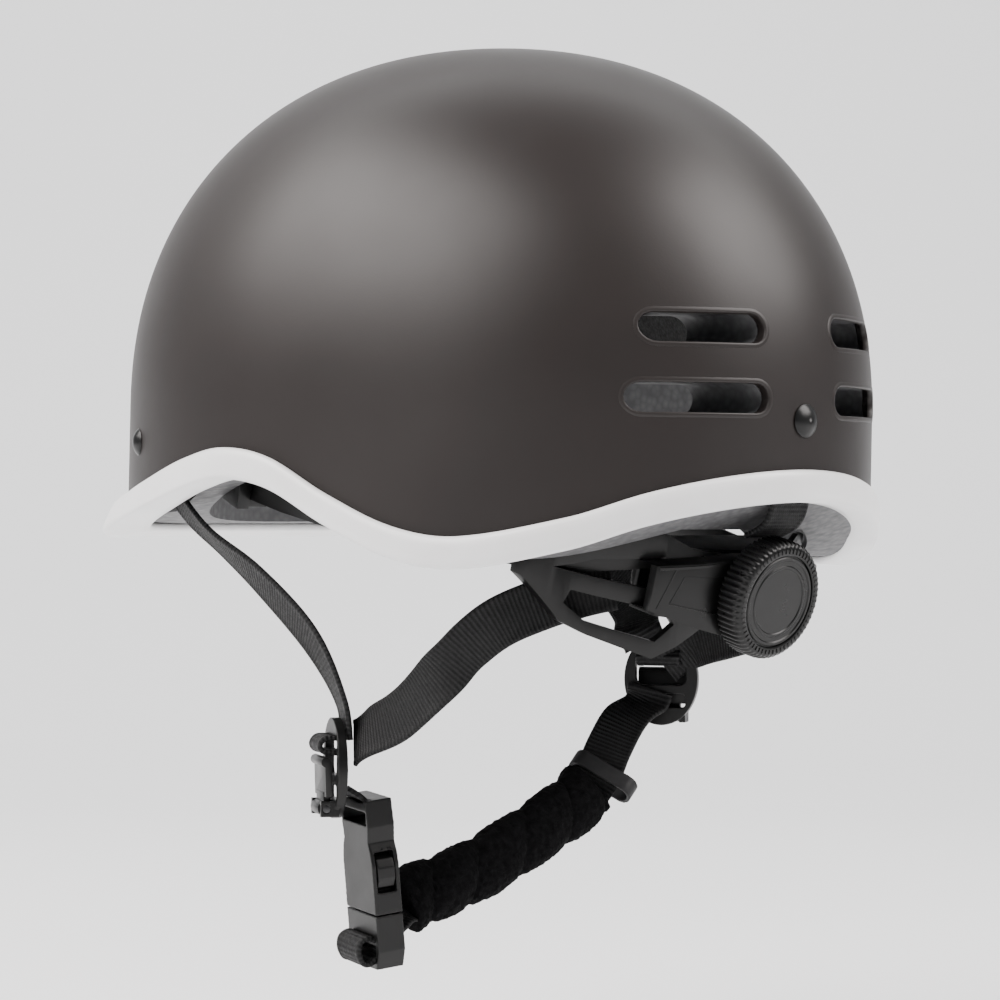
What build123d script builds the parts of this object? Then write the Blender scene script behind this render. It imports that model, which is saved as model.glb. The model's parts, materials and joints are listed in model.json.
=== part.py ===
"""Cycling helmet: hard shell, foam liner, rim trim, webbing harness and dial fit system.

Frame: +Z up, -Y to the wearer's front, +X to the wearer's left. The origin is the centre of
the head space, level with the widest part of the shell. Lengths are millimetres.
"""
from build123d import *
import math
import os

# Shell and liner
SHELL_LENGTH = 278.0
SHELL_WIDTH = 215.0
DOME_HEIGHT = 121.0
DOME_POWER = 2.18
CROWN_LEAN = 1.15
SHELL_WALL = 2.4
LINER_GAP = 0.3
LINER_SIDE = 24.5
LINER_TOP = 27.0
SKIRT_DEPTH = 75.0

# Lower edge of the trim seen from the side, as (Y, Z), from the front to the rear
RIM = [(-175, -41), (-145, -41.5), (-100, -40), (-63, -34), (-31, -26.5), (-10, -23.4), (12, -26.5),
       (36, -38), (59, -47.8), (78, -50.6), (106, -44.5), (122, -37), (145, -27), (175, -12)]
TRIM_HEIGHT = 10.0
TRIM_PROUD = 2.8
TRIM_FLOOR = 3.0
TRIM_LIP = 8.0
BRIM_TOP = -27.0
BRIM_BOTTOM = -42.0
BRIM_REACH = 11.0

# Vents: height of the slot, then (X, Z, slot length) of each
VENT_HEIGHT = 9.5
REAR_VENTS = [(34.3, 23.3, 38.4), (36.6, 1.9, 43.0)]
FRONT_VENTS = [(0, 46, 40), (0, 27, 46), (0, 8, 50)]
CHANNEL_X = [-38.0, 38.0]
CHANNEL_WIDTH = 14.0
CHANNEL_DEPTH = 9.0

# Rivets: angle round the shell from the rear, height, head radius
TEMPLE_RIVET = (122.7, -10.9, 4.6)
REAR_RIVET = (0.0, -4.6, 5.3)
RIVET_SHANK = 2.5
STRAP_DEPTH = 6.0
POCKET_LENGTH = 56.0
TEMPLE_POCKET = (34.0, 12.0)
REAR_POCKET = (23.0, 7.0)
POCKET_OUTER_DEPTH = 3.5

# Comfort pads
PAD_THICKNESS = 7.0
PAD_DOT_THICKNESS = 1.0

# Webbing
WEBBING_WIDTH = 16.0
WEBBING_THICKNESS = 1.6

# Strap dividers
DIVIDER_PLACES = {"left": (75.0, 7.0, -115.0), "right": (-71.0, 12.0, -91.0)}
DIVIDER_TURN = 30.0
DIVIDER_HALF_WIDTH = 13.0
DIVIDER_HALF_HEIGHT = 16.0
DIVIDER_THICKNESS = 3.0
LEVER_PIN_HEIGHT = -12.5
LEVER_PIN_OFFSET = 4.4
LEVER_PIN_RADIUS = 1.2
LEVER_LEAN = 2.0
RUNNING_GAP = 0.06

# Side-release buckle, from the socket's webbing bar down
BUCKLE_TOP = (67.0, 13.0, -126.5)
BUCKLE_DOWN = (-0.13, -0.02, -0.99)
BUCKLE_TURN = 17.0
SOCKET_LENGTH = 34.0
SOCKET_WIDTH = 22.0
BUCKLE_DEPTH = 9.4
TONGUE_LENGTH = 17.5
PRONG_PIN_X = 7.1
PRONG_PIN_DEPTH = 36.6
PRONG_PIN_RADIUS = 1.5

# Fit system, in its own frame: origin at the centre of the dial's face, +Y out of the dial
DIAL_PLACE = (0.0, 128.8, -60.5)
DIAL_TILT = 15.0
DIAL_RADIUS = 19.0
DIAL_DEPTH = 9.0
DIAL_TEETH = 60
CRADLE_CENTRE_Y = -83.5
HOUSING_RADIUS = 74.0
HOUSING_WALL = 2.3
HOUSING_HALF_LENGTH = 37.0
YOKE_RADIUS = 67.0
YOKE_THICKNESS = 2.0
SHAFT_RADIUS = 3.0
PINION_TEETH = 8
PINION_PITCH_RADIUS = 5.0
PINION_FACE = (-29.0, -22.5)
RACK_Y = -25.7
RACK_PITCH = 2 * math.pi * PINION_PITCH_RADIUS / PINION_TEETH
BAND_THICKNESS = 1.6
BAND_PIN = (67.0, -177.3, -9.7)
BAND_PIN_RADIUS = 2.0
BAND_BOSS_RADIUS = 4.5
COVER_BACK = -36.0
COVER_HALF_LENGTH = 28.0
COVER_HALF_HEIGHT = 11.4

FIT = Pos(*DIAL_PLACE) * Rot(-DIAL_TILT, 0, 0)


def dome_curve(side, top):
    """Half profile of the dome, set in from the shell's outer surface at its side and top."""
    half_width = SHELL_WIDTH / 2 - side
    height = DOME_HEIGHT - top
    power = 2 / DOME_POWER
    angles = [math.radians(11.25 * step) for step in range(8)]
    points = [(half_width * math.cos(a) ** power, height * math.sin(a) ** power) for a in angles]
    return Spline(*points, (0, height), tangents=[(0, 1), (-1, 0)]), half_width, height


def scaled_along_y(shape, factor):
    matrix = Matrix([[1, 0, 0, 0], [0, factor, 0, 0], [0, 0, 1, 0], [0, 0, 0, 1]])
    return shape.transform_geometry(matrix)


def stretched(shape):
    """Stretch a round dome shape front to back and lean its crown to the rear."""
    return Rot(-CROWN_LEAN, 0, 0) * scaled_along_y(shape, SHELL_LENGTH / SHELL_WIDTH)


def squeezed(shape):
    """The same step undone, so that cutters in the helmet's frame can cut a round dome."""
    return scaled_along_y(Rot(CROWN_LEAN, 0, 0) * shape, SHELL_WIDTH / SHELL_LENGTH)


def dome(side, top=None):
    """Solid round dome whose surface is set in by these gaps."""
    curve, half_width, height = dome_curve(side, side if top is None else top)
    walls = Polyline((0, height), (0, -SKIRT_DEPTH), (half_width, -SKIRT_DEPTH), (half_width, 0))
    return revolve(Plane.XZ * make_face(curve + walls), Axis.Z)


def skin(outer, inner):
    """Hollow round dome between two surfaces, each given as gaps at the (side, top)."""
    outside, far, high = dome_curve(*outer)
    inside, near, low = dome_curve(*inner)
    crown = Line((0, high), (0, low))
    walls = Polyline((near, 0), (near, -SKIRT_DEPTH), (far, -SKIRT_DEPTH), (far, 0))
    return revolve(Plane.XZ * make_face(outside + crown + inside + walls), Axis.Z)


def above_rim(rise):
    """Everything above the rim line raised by this much."""
    line = Spline(*[(y, z + rise) for y, z in RIM])
    box = Polyline((RIM[-1][0], RIM[-1][1] + rise), (RIM[-1][0], 140), (RIM[0][0], 140),
                   (RIM[0][0], RIM[0][1] + rise))
    return extrude(Plane.YZ * make_face(line + box), 160, both=True)


def slot(place, length, height, depth):
    """Round-ended slot running along Y."""
    return Pos(*place) * Rot(90, 0, 0) * extrude(SlotOverall(length, height), depth / 2, both=True)


def vents():
    """Cutter for every vent, through shell and liner."""
    slots = [slot((side * x, 115, z), length, VENT_HEIGHT, 110)
             for x, z, length in REAR_VENTS for side in (-1, 1)]
    slots += [slot((x, -115, z), length, VENT_HEIGHT, 110) for x, z, length in FRONT_VENTS]
    return slots


def rivet_frame(angle, height, depth=0.0):
    """Frame on the shell at this angle from the rear: +Z outward, +Y up."""
    turn = math.radians(angle)
    half_width, half_length = SHELL_WIDTH / 2, SHELL_LENGTH / 2
    point = Vector(half_width * math.sin(turn), half_length * math.cos(turn), height)
    outward = Vector(math.sin(turn) / half_width, math.cos(turn) / half_length, 0).normalized()
    along = Vector(0, 0, 1).cross(outward)
    return Plane(origin=point - outward * depth, x_dir=along, z_dir=outward).location


def rivet_spots():
    """The three rivets: two at the temples and one at the rear."""
    angle, height, radius = TEMPLE_RIVET
    return [(angle, height, radius), (-angle, height, radius), REAR_RIVET]


def pocket(angle, height, size, shift=0.0):
    """Slot below a rivet, from just inside the shell inwards."""
    width, thickness = size
    block = Pos(shift, -16, -thickness / 2) * Box(width, POCKET_LENGTH, thickness)
    return rivet_frame(angle, height, POCKET_OUTER_DEPTH) * block


def pockets():
    """Slots in the liner and trim that the riveted straps run down."""
    angle, height, _ = TEMPLE_RIVET
    slots = [pocket(side * angle, height, TEMPLE_POCKET, side * 5.5) for side in (-1, 1)]
    return slots + [pocket(REAR_RIVET[0], REAR_RIVET[1], REAR_POCKET)]


def cradle_room():
    """Space kept free in the liner's lower edge for the yoke, the bands and the dial housing."""
    low, top = -20.5, 17.5
    ring = Pos(0, CRADLE_CENTRE_Y, (low + top) / 2) * Cylinder(YOKE_RADIUS + 1.6, top - low)
    top = 13.5
    cover = Pos(0, CRADLE_CENTRE_Y, (low + top) / 2) * Cylinder(HOUSING_RADIUS, top - low)
    return FIT * (ring + (cover & Box(62, 200, 60)))


def rivet_holes():
    return [squeezed(rivet_frame(a, z) * Cylinder(RIVET_SHANK, 12)) for a, z, _ in rivet_spots()]


def outer_shell():
    shell = skin((0, 0), (SHELL_WALL, SHELL_WALL)) & squeezed(above_rim(TRIM_FLOOR))
    shell -= [squeezed(cutter) for cutter in vents()]
    return stretched(shell - rivet_holes())


def eps_liner():
    outside = SHELL_WALL + LINER_GAP
    liner = skin((outside, outside), (LINER_SIDE, LINER_TOP)) & squeezed(above_rim(TRIM_FLOOR))
    grooves = skin((LINER_SIDE - CHANNEL_DEPTH, LINER_TOP - CHANNEL_DEPTH), (LINER_SIDE + 6, LINER_TOP + 6))
    liner -= [grooves & squeezed(Pos(x, 0, 60) * Box(CHANNEL_WIDTH, 260, 100)) for x in CHANNEL_X]
    liner -= [squeezed(cutter) for cutter in vents() + pockets() + [cradle_room()]]
    return stretched(liner - rivet_holes())


def rim_trim():
    half_width, half_length = SHELL_WIDTH / 2 + 1, SHELL_LENGTH / 2 + 1
    brim = loft([Pos(0, 0, BRIM_TOP) * Ellipse(half_width, half_length),
                 Pos(0, -BRIM_REACH / 2, BRIM_BOTTOM) * Ellipse(half_width, half_length + BRIM_REACH / 2)])
    band = squeezed(above_rim(0) - above_rim(TRIM_HEIGHT))
    trim = (dome(-TRIM_PROUD) + squeezed(brim)) & band
    trim -= dome(0) & squeezed(above_rim(TRIM_FLOOR))
    trim -= dome(TRIM_LIP)
    trim -= [squeezed(slot_shape) for slot_shape in pockets()]
    return stretched(trim)


def strap_rivets():
    """Domed heads on the shell with shanks into the anchor pockets."""
    rivets = []
    for angle, height, radius in rivet_spots():
        ball = (radius ** 2 + 2.0 ** 2) / (2 * 2.0)
        head = Pos(0, 0, 2.0 - ball) * Sphere(ball) & Pos(0, 0, 5) * Cylinder(radius + 1, 10)
        shank = Pos(0, 0, -2) * Cylinder(RIVET_SHANK, 4.8)
        rivets.append(rivet_frame(angle, height, -0.15) * (head + shank))
    return rivets


def anchor_plates():
    """Square plates under the rivets that the strap ends are sewn to."""
    plates = []
    for angle, height, _ in rivet_spots():
        plates.append(rivet_frame(angle, height, 4.4) * (Box(15, 15, 1.2) - Cylinder(RIVET_SHANK, 3)))
    return plates


def pad_blank(gap, thickness):
    """Skin of this thickness standing this far off the inside of the liner."""
    deep = gap + thickness
    return skin((LINER_SIDE + gap, LINER_TOP + gap), (LINER_SIDE + deep, LINER_TOP + deep))


def pad_windows():
    """The stretch of liner that each comfort pad covers."""
    return {
        "brow_pad": Pos(0, -90, -10.5) * Box(120, 90, 25),
        "crown_pad_left": Pos(19, 0, 90) * Box(22, 120, 60),
        "crown_pad_right": Pos(-19, 0, 90) * Box(22, 120, 60),
        "side_pad_left": Pos(70, 2, 27) * Box(60, 70, 28),
        "side_pad_right": Pos(-70, 2, 27) * Box(60, 70, 28),
        "nape_pad_left": Pos(30, 90, 42) * Box(34, 70, 22),
        "nape_pad_right": Pos(-30, 90, 42) * Box(34, 70, 22),
    }


def comfort_pads():
    blank = pad_blank(PAD_DOT_THICKNESS, PAD_THICKNESS)
    return {name: stretched(blank & squeezed(window)) for name, window in pad_windows().items()}


def pad_dots():
    """Hook-and-loop dots between each pad and the liner."""
    layer = pad_blank(0, PAD_DOT_THICKNESS)
    places = [Pos(s * 38, -90, -10.5) * Rot(90, 0, 0) for s in (-1, 1)]
    places += [Pos(s * 19, y, 90) for s in (-1, 1) for y in (-35, 35)]
    places += [Pos(s * 70, y, 27) * Rot(0, 90, 0) for s in (-1, 1) for y in (-18, 22)]
    places += [Pos(s * 30, 90, 42) * Rot(90, 0, 0) for s in (-1, 1)]
    return [stretched(layer & squeezed(place * Cylinder(7, 50))) for place in places]


def strap(stations, width=WEBBING_WIDTH, thickness=WEBBING_THICKNESS):
    """Flat webbing through stations of (centre, direction across the width)."""
    centres = [Vector(*centre) for centre, _ in stations]
    wires = []
    for index, (_, across) in enumerate(stations):
        before = centres[max(index - 1, 0)]
        after = centres[min(index + 1, len(centres) - 1)]
        along = (after - before).normalized()
        side = Vector(*across)
        side = (side - along * side.dot(along)).normalized()
        face = along.cross(side) * (thickness / 2)
        side = side * (width / 2)
        corners = [side + face, face - side, side * -1 - face, side - face]
        wires.append(Wire.make_polygon([centres[index] + corner for corner in corners], close=True))
    return Solid.make_loft(wires, ruled=True)


FRONT_LEFT = [((85.0, -72.3, -8), (0.44, 0.9, 0)), ((84.4, -69, -22), (0.5, 0.87, 0.1)),
              ((83.4, -59, -33), (0.6, 0.6, 0.5)), ((82, -44.4, -44), (0.72, 0.5, 0.5)),
              ((80, -23.8, -57), (0.55, 0.58, 0.6)), ((77.5, -2, -75), (0.48, 0.62, 0.62)),
              ((73.2, 7.6, -94), (0.55, 0.8, 0.2)), ((72.2, 8.8, -106), (0.5, 0.87, 0))]
FRONT_RIGHT = [((-85.0, -72.3, -8), (-0.44, 0.9, 0)), ((-84.4, -69, -22), (-0.5, 0.87, 0.1)),
               ((-83.4, -59, -32), (-0.4, 0.7, 0.5)), ((-82, -42, -44), (-0.3, 0.6, 0.6)),
               ((-79, -22, -56), (-0.3, 0.6, 0.65)), ((-73, -4, -67), (-0.4, 0.75, 0.5)),
               ((-64.5, 6.5, -73.5), (-0.5, 0.87, 0.1)), ((-65.6, 9.2, -78.5), (-0.5, 0.87, 0))]
REAR_LEFT = [((73.2, 14.4, -106.8), (-0.05, 0.45, 0.88)), ((75, 24, -102.5), (-0.1, 0.42, 0.9)),
             ((75, 38, -96.5), (0, 0.35, 0.92)), ((74.5, 54.9, -84), (0.1, 0.3, 0.92)),
             ((69.8, 63.3, -74.2), (0.3, 0.1, 0.92)), ((63.4, 70, -67.1), (0.3, -0.15, 0.92)),
             ((52.9, 76.8, -61.8), (0.3, -0.25, 0.92)), ((44.8, 86.2, -57.7), (0.15, -0.15, 0.97)),
             ((37, 92.6, -55.4), (0.1, -0.1, 0.99))]
REAR_RIGHT = [((-67.7, 15.8, -86), (0.05, 0.45, 0.88)), ((-73, 25, -79), (0.1, 0.42, 0.9)),
              ((-72.5, 42, -75), (0, 0.3, 0.95)), ((-68.5, 58, -72), (0, 0.3, 0.95)),
              ((-61, 69, -71), (0, 0.2, 0.97)), ((-52, 77, -70), (-0.1, 0.1, 0.97)),
              ((-44, 85, -69), (-0.1, 0, 0.99))]
HANGER = [((0, 133, -6), (1, 0, 0)), ((0, 132.9, -27), (1, 0, 0)), ((0, 129.5, -36), (1, 0, 0)),
          ((0, 121.5, -40), (1, 0, 0))]
BUCKLE_STRAP = [((72.6, 9.0, -121.5), (0.5, 0.87, 0)), ((70.2, 11.2, -124.3), (0.4, 0.91, 0)),
                ((68.6, 12.2, -127.0), (0.29, 0.95, 0))]
CHIN_STRAP = [((59.8, 12, -170.4), (0.2, 0.95, -0.1)), ((55.6, 11.4, -165.4), (0.18, 0.85, -0.45)),
              ((50.4, 11, -160.3), (0.15, 0.6, -0.8)), ((41.6, 11, -157), (0.1, 0.35, -0.93)),
              ((26, 11, -153.8), (0, 0.2, -1)), ((7.8, 11, -147.8), (0, 0.2, -1)),
              ((-10.7, 11, -140.3), (0, 0.2, -1)), ((-28.3, 10, -133), (-0.1, 0.3, -0.9)),
              ((-41.5, 8.8, -124.5), (-0.3, 0.65, -0.6)), ((-48.5, 8.6, -114), (-0.5, 0.8, -0.3)),
              ((-56, 9, -104.3), (-0.5, 0.85, -0.2)), ((-64.8, 10.2, -99), (-0.5, 0.87, 0)),
              ((-66.2, 11.2, -94.4), (-0.5, 0.87, 0))]
CHIN_PAD = [(50.4, 11, -160.3), (41.6, 11, -157), (26, 11, -153.8), (7.8, 11, -147.8),
            (-10.7, 11, -140.3), (-28.3, 10, -133), (-38.5, 9.1, -127)]
PAD_SLEEVE_HALF_HEIGHT = 10.0
PAD_SLEEVE_HALF_DEPTH = 6.0
KEEPER_PLACE = (-42.9, 8.75, -122.4)


def chin_pad():
    """Soft sleeve round the chin webbing."""
    sections = []
    for index, centre in enumerate(CHIN_PAD):
        before = Vector(*CHIN_PAD[max(index - 1, 0)])
        after = Vector(*CHIN_PAD[min(index + 1, len(CHIN_PAD) - 1)])
        along = (after - before).normalized()
        plane = Plane(origin=centre, x_dir=Vector(0, 1, 0).cross(along), z_dir=along)
        ends = index in (0, len(CHIN_PAD) - 1)
        size = 0.9 if ends else 1.0
        sections.append(plane * Ellipse(PAD_SLEEVE_HALF_HEIGHT * size, PAD_SLEEVE_HALF_DEPTH * size))
    return loft(sections) - strap(CHIN_STRAP, WEBBING_WIDTH + 0.8, WEBBING_THICKNESS + 0.8)


def keeper_frame():
    """Frame of the keeper loop: +Z along the webbing there, X across its width."""
    index = 8
    along = Vector(*CHIN_STRAP[index + 1][0]) - Vector(*CHIN_STRAP[index - 1][0])
    side = Vector(*CHIN_STRAP[index][1])
    return Plane(origin=KEEPER_PLACE, x_dir=side, z_dir=along).location


def strap_keeper():
    """Rubber loop that holds the webbing's loose end."""
    outer = extrude(RectangleRounded(24, 8.6, 4.0), 3, both=True)
    inner = extrude(RectangleRounded(21.4, 6.2, 2.8), 6, both=True)
    return keeper_frame() * Pos(2.1, 0, 0) * (outer - inner)


def divider_frame(side):
    """Frame of a divider: X across it, +Y up, +Z away from the head."""
    sign = 1 if side == "left" else -1
    turn = math.radians(DIVIDER_TURN)
    outward = Vector(sign * math.cos(turn), -math.sin(turn), 0)
    across = Vector(0, 0, 1).cross(outward)
    return Plane(origin=DIVIDER_PLACES[side], x_dir=across, z_dir=outward).location


def divider_base(side):
    """Oval ring with a strap window, a lower slot and two ears for the lever's pin."""
    height, width = DIVIDER_HALF_HEIGHT, DIVIDER_HALF_WIDTH
    plate = extrude(Ellipse(width, height), DIVIDER_THICKNESS / 2, both=True)
    window = Pos(0, 4.2, 0) * extrude(RectangleRounded(18, 12.5, 2.5), 5, both=True)
    lower = Pos(0, -7.4, 0) * extrude(RectangleRounded(17.4, 4.6, 1.2), 5, both=True)
    ears = [Pos(x, LEVER_PIN_HEIGHT, 3.2) * Box(2.2, 5, 6) for x in (-7.2, 7.2)]
    bore = Pos(0, LEVER_PIN_HEIGHT, LEVER_PIN_OFFSET) * Rot(0, 90, 0) * Cylinder(LEVER_PIN_RADIUS, 20)
    return divider_frame(side) * (plate + ears - window - lower - bore)


def lever_pin(side):
    pin = Pos(0, LEVER_PIN_HEIGHT, LEVER_PIN_OFFSET) * Rot(0, 90, 0) * Cylinder(LEVER_PIN_RADIUS, 16.6)
    return divider_frame(side) * pin


def divider_lever(side):
    """Locking plate that turns on the lower pin."""
    knuckle = Rot(0, 90, 0) * Cylinder(2.4, 11.8)
    plate = Pos(0, 9.4, -0.9) * Box(18, 11.2, 2.2)
    web = Pos(0, 2.7, -0.7) * Box(11.8, 5, 2.2)
    tip = Pos(0, 14.8, -0.2) * Rot(0, 90, 0) * Cylinder(1.6, 18)
    bore = Rot(0, 90, 0) * Cylinder(LEVER_PIN_RADIUS + RUNNING_GAP, 20)
    lever = Rot(LEVER_LEAN, 0, 0) * (knuckle + plate + web + tip - bore)
    return divider_frame(side) * Pos(0, LEVER_PIN_HEIGHT, LEVER_PIN_OFFSET) * lever


def buckle_frame():
    """Frame at the socket's bar: X across the buckle, -Y away from the head, +Z up its length."""
    turn = math.radians(BUCKLE_TURN)
    up = Vector(*BUCKLE_DOWN).normalized() * -1
    across = Vector(math.sin(turn), math.cos(turn), 0)
    return Plane(origin=BUCKLE_TOP, x_dir=across, z_dir=up).location


def buckle_socket():
    """Hollow half of the buckle, with side windows and a webbing bar at its top."""
    depth, width, length = BUCKLE_DEPTH, SOCKET_WIDTH, SOCKET_LENGTH
    edge = width / 2
    right = [(edge - 2, 2.5), (edge - 1.2, -6), (edge - 2, -11), (edge - 0.8, -14), (edge, -18), (edge, -length)]
    outline = Polyline(*right, *[(-x, z) for x, z in reversed(right)], close=True)
    body = extrude(Plane.XZ * make_face(outline), depth / 2, both=True)
    hollow = Pos(0, 0, -13 - length / 2) * Box(width - 2.6, 6.6, length)
    window = [Pos(s * width / 2, 0, -20.5) * Box(7, 6.6, 13) for s in (-1, 1)]
    strap_slot = Pos(0, -0.6, -3.2) * Box(17.2, 12, 4.2)
    socket = buckle_frame() * (body - hollow - window - strap_slot)
    return socket - strap(BUCKLE_STRAP, WEBBING_WIDTH + 0.8, WEBBING_THICKNESS + 0.8)


def buckle_tongue():
    """Plug half: guide blade, base with a webbing window, and sockets for the two prongs."""
    depth, length = BUCKLE_DEPTH, TONGUE_LENGTH
    top = -SOCKET_LENGTH - 0.35
    edge, foot = SOCKET_WIDTH / 2, top - length
    outline = Polyline((-edge, top), (edge, top), (edge, foot + 6), (edge - 2.5, foot), (2.5 - edge, foot),
                       (-edge, foot + 6), close=True)
    base = extrude(Plane.XZ * make_face(outline), depth / 2, both=True)
    base -= Pos(0, 0, top - 11) * Box(17.4, 20, 8)
    bar = Pos(0, 0, top - 11) * Rot(0, 90, 0) * Cylinder(1.5, 18)
    blade = Pos(0, 0, top + 7) * Box(4.6, 4.6, 15)
    tongue = base + bar + blade
    for side in (-1, 1):
        eye = Pos(side * PRONG_PIN_X, 0, -PRONG_PIN_DEPTH) * Rot(90, 0, 0)
        tongue -= eye * Cylinder(PRONG_PIN_RADIUS + RUNNING_GAP, 6.8)
        tongue -= Pos(side * (PRONG_PIN_X - 1.2), 0, top) * Box(5.6, 6.8, 3.2)
    return buckle_frame() * tongue - strap(CHIN_STRAP, WEBBING_WIDTH + 0.8, WEBBING_THICKNESS + 0.8)


def prong(side):
    """Springy side arm with the button that shows in the socket's window."""
    eye = Pos(side * PRONG_PIN_X, 0, -PRONG_PIN_DEPTH) * Rot(90, 0, 0) * Cylinder(PRONG_PIN_RADIUS, 6)
    arm = Pos(side * PRONG_PIN_X, 0, -25.6) * Box(2.0, 6, 20.6)
    outline = Polyline((7.5, -26.3), (10.1, -25.4), (11.4, -22.5), (11.4, -19), (10.3, -16.2), (7.5, -15),
                       close=True)
    button = extrude(Plane.XZ * make_face(outline), 3, both=True)
    if side < 0:
        button = mirror(button, Plane.YZ)
    return buckle_frame() * (eye + arm + button)


def toothed(count, root, tip, flat, height):
    """Disc with straight-sided teeth; flat is each tooth tip's share of the pitch."""
    points = []
    pitch = 2 * math.pi / count
    for index in range(count):
        middle = index * pitch
        for radius, share in ((root, -0.38), (tip, -flat / 2), (tip, flat / 2), (root, 0.38)):
            angle = middle + share * pitch
            points.append((radius * math.cos(angle), radius * math.sin(angle)))
    return extrude(make_face(Polyline(*points, close=True)), height)


def along_y(shape, y):
    """Stand a shape drawn on XY so that its +Z runs along -Y from this Y."""
    return Pos(0, y, 0) * Rot(90, 0, 0) * shape


def dial_knob():
    """Grip ring with its hub and the shaft that carries the pinion."""
    knob = along_y(toothed(DIAL_TEETH, DIAL_RADIUS - 0.7, DIAL_RADIUS, 0.4, DIAL_DEPTH), 0)
    knob -= along_y(extrude(Circle(14.6), 1.6), 0)
    knob -= along_y(extrude(Circle(15.0) - Circle(6.5), 3), -DIAL_DEPTH + 3)
    shaft_end = PINION_FACE[1]
    knob += along_y(extrude(Circle(SHAFT_RADIUS), -shaft_end - DIAL_DEPTH + 1), -DIAL_DEPTH + 1)
    knob -= along_y(extrude(Circle(1.2), 30), -5)
    return FIT * knob


def dial_disc():
    return FIT * along_y(extrude(Circle(14.4), 1.2), -0.4)


def drive_gear():
    """Pinion on the inner end of the dial's shaft."""
    front, back = PINION_FACE[1], PINION_FACE[0]
    gear = toothed(PINION_TEETH, PINION_PITCH_RADIUS - 1.5, PINION_PITCH_RADIUS + 1.0, 0.16, front - back)
    gear = Rot(0, 0, 180 / PINION_TEETH) * gear
    return FIT * (along_y(gear, front) - along_y(extrude(Circle(1.2), 30), -5))


def dial_screw():
    """Screw through the pinion into the dial's shaft."""
    back = PINION_FACE[0]
    shank = along_y(extrude(Circle(1.2), -back - 8), -8)
    head = along_y(extrude(Circle(2.6), 1.6), back)
    return FIT * (shank + head)


def arc_plate(outer, thickness, height=60):
    """Upright ring about the cradle's centre line."""
    ring = Cylinder(outer, height) - Cylinder(outer - thickness, height + 2)
    return Pos(0, CRADLE_CENTRE_Y, 0) * ring


def upright(points, depth=82):
    """Prism along Y over an outline given as (X, Z)."""
    return extrude(Plane.XZ * make_face(Polyline(*points, close=True)), depth)


def both_sides(points):
    """Outline for the wearer's left mirrored to the right, in order round the shape."""
    return points + [(-x, z) for x, z in reversed(points) if x != 0]


HOUSING_OUTLINE = [(0, 11.2), (9, 11), (37, 6.2), (37, -8), (21, -12), (3, -15.4)]
YOKE_OUTLINE = [(0, 9.5), (22, 11.5), (30, 15), (38, 14), (47, 10), (60, -1), (60, -6), (52, -17.5),
                (46, -20), (28, -24.5), (21, -20), (11, -11.5), (0, -11.5)]
UPPER_WINDOW = [(29.5, 8), (47, 4), (55, -1), (33, -2.6), (29.5, -2.6)]
LOWER_WINDOW = [(51, -7), (32, -8.4), (26, -9.4), (23, -13), (28, -19), (47, -15.8), (52, -11.5)]
INNER_SHARE = 0.86


def housing_front():
    """Curved cover behind the dial, open towards the head."""
    outline = both_sides(HOUSING_OUTLINE)
    body = arc_plate(HOUSING_RADIUS, HOUSING_RADIUS - YOKE_RADIUS - 0.05) & upright(outline)
    inner = [(x * 1.2 if abs(x) > 30 else x, z * INNER_SHARE) for x, z in outline]
    body -= arc_plate(HOUSING_RADIUS - HOUSING_WALL, 12) & upright(inner)
    body -= along_y(extrude(Circle(SHAFT_RADIUS + RUNNING_GAP), 30), 0)
    body -= [Pos(x, -18, 0) * Rot(90, 0, 0) * Cylinder(1.25, 16) for x in (-14, 14)]
    bosses = [Pos(x, -14.5, 0) * Rot(90, 0, 0) * (Cylinder(2.6, 9) - Cylinder(1.25, 12)) for x in (-14, 14)]
    reach = arc_plate(HOUSING_RADIUS - 0.5, HOUSING_RADIUS - YOKE_RADIUS - 0.55)
    return FIT * (body + [boss & reach for boss in bosses])


def detent_spring():
    """Flat ratchet ring round the shaft, inside the cover."""
    ring = toothed(24, 8.2, 9.4, 0.3, 1.0)
    return FIT * along_y(ring - extrude(Circle(4.2), 1.0), -12.9)


def fit_yoke():
    """Winged frame that cups the back of the head."""
    plate = arc_plate(YOKE_RADIUS, YOKE_THICKNESS) & upright(both_sides(YOKE_OUTLINE))
    for points in (UPPER_WINDOW, LOWER_WINDOW):
        plate -= upright(points)
        plate -= upright([(-x, z) for x, z in points])
    plate -= along_y(extrude(Circle(SHAFT_RADIUS + RUNNING_GAP), 40), 0)
    plate -= [Pos(x, -20, 0) * Rot(90, 0, 0) * Cylinder(1.25, 20) for x in (-14, 14)]
    return FIT * plate


def housing_back():
    """Cover over the pinion and racks, on the head side."""
    depth = 1.5
    height, length = COVER_HALF_HEIGHT, COVER_HALF_LENGTH
    box = Pos(0, COVER_BACK / 2 - 8, 0) * Box(2 * length, -COVER_BACK - 16, 2 * height)
    hollow = Pos(0, COVER_BACK / 2 - 8 + depth, 0) * Box(2 * length + 2, -COVER_BACK - 16, 2 * height - 3)
    cover = box - hollow
    cover &= Pos(0, CRADLE_CENTRE_Y, 0) * Cylinder(YOKE_RADIUS - YOKE_THICKNESS - 0.05, 60)
    cover -= [Pos(x, -36, 0) * Rot(90, 0, 0) * Cylinder(1.25, 20) for x in (-14, 14)]
    return FIT * cover


def housing_screws():
    """Two screws from the head side into the front cover."""
    shank = along_y(extrude(Circle(1.25), -COVER_BACK - 12.5), -12.5)
    head = along_y(extrude(Circle(2.4), 1.4), COVER_BACK)
    return [FIT * Pos(x, 0, 0) * (shank + head) for x in (-14, 14)]


def yoke_pad():
    """Soft pad on the head side of the cover."""
    pad = extrude(RectangleRounded(52, 21, 6), 4.5)
    return FIT * along_y(pad, COVER_BACK - 1.7)


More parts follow.
